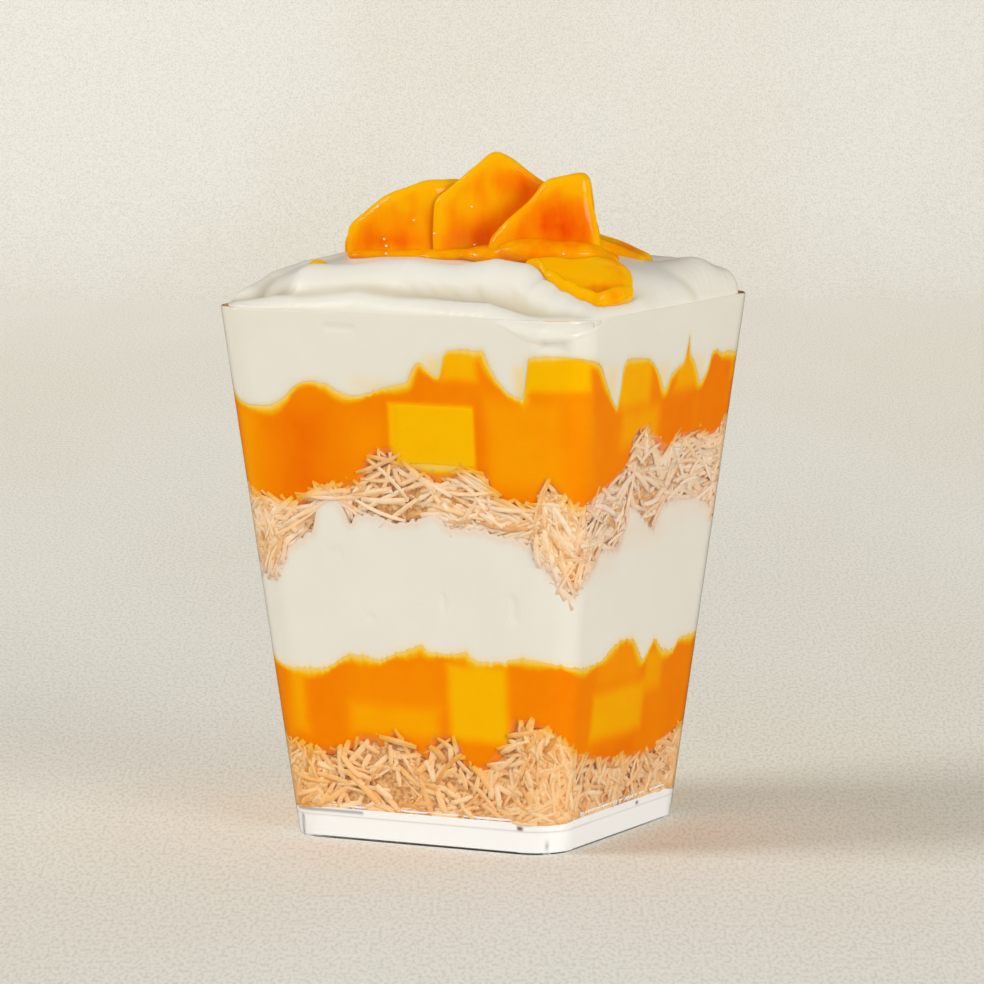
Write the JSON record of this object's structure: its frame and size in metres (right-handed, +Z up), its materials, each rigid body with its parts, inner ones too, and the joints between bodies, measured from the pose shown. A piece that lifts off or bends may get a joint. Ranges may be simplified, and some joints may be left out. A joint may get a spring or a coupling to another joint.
{
  "type": "layered mango and kunafa dessert cup",
  "caption": "Clear square tapering dessert cup filled with layers of crisp kunafa shreds, mango and cream, topped with a cream swirl and a pile of cut mango pieces.",
  "frame": {"origin": "middle of the cup's foot, on the surface that it stands on", "axes": "+Z up the cup, -Y out of its front side, +X out of its right side"},
  "size_m": [0.0618, 0.0618, 0.1022],
  "materials": {
    "clear_plastic": "clear, smooth, glossy",
    "kunafa": "dry baked shreds, pale gold",
    "cream": "thick smooth cream, soft sheen",
    "mango_sauce": "thick wet mango pulp",
    "mango_flesh": "cut ripe mango, wet"
  },
  "bodies": {
    "root": {"cup": "clear_plastic", "kunafa_bottom": "kunafa", "kunafa_upper": "kunafa", "cream_middle": "cream", "cream_swirl": "cream", "mango_lower": "mango_sauce", "mango_upper": "mango_sauce", "mango_lower_die_01": "mango_flesh", "mango_lower_die_02": "mango_flesh", "mango_lower_die_03": "mango_flesh", "mango_lower_die_04": "mango_flesh", "mango_lower_die_05": "mango_flesh", "mango_lower_die_06": "mango_flesh", "mango_lower_die_07": "mango_flesh", "mango_lower_die_08": "mango_flesh", "mango_lower_die_09": "mango_flesh", "mango_lower_die_10": "mango_flesh", "mango_lower_die_11": "mango_flesh", "mango_lower_die_12": "mango_flesh", "mango_upper_die_01": "mango_flesh", "mango_upper_die_02": "mango_flesh", "mango_upper_die_03": "mango_flesh", "mango_upper_die_04": "mango_flesh", "mango_upper_die_05": "mango_flesh", "mango_upper_die_06": "mango_flesh", "mango_upper_die_07": "mango_flesh", "mango_upper_die_08": "mango_flesh", "mango_upper_die_09": "mango_flesh", "mango_upper_die_10": "mango_flesh", "mango_upper_die_11": "mango_flesh", "mango_upper_die_12": "mango_flesh", "mango_upper_die_13": "mango_flesh", "mango_right": "mango_flesh", "mango_middle": "mango_flesh", "mango_left": "mango_flesh", "mango_slab": "mango_flesh", "mango_slice": "mango_flesh", "mango_chip": "mango_flesh", "mango_back_left": "mango_flesh", "mango_back_right": "mango_flesh"}
  },
  "joints": []
}
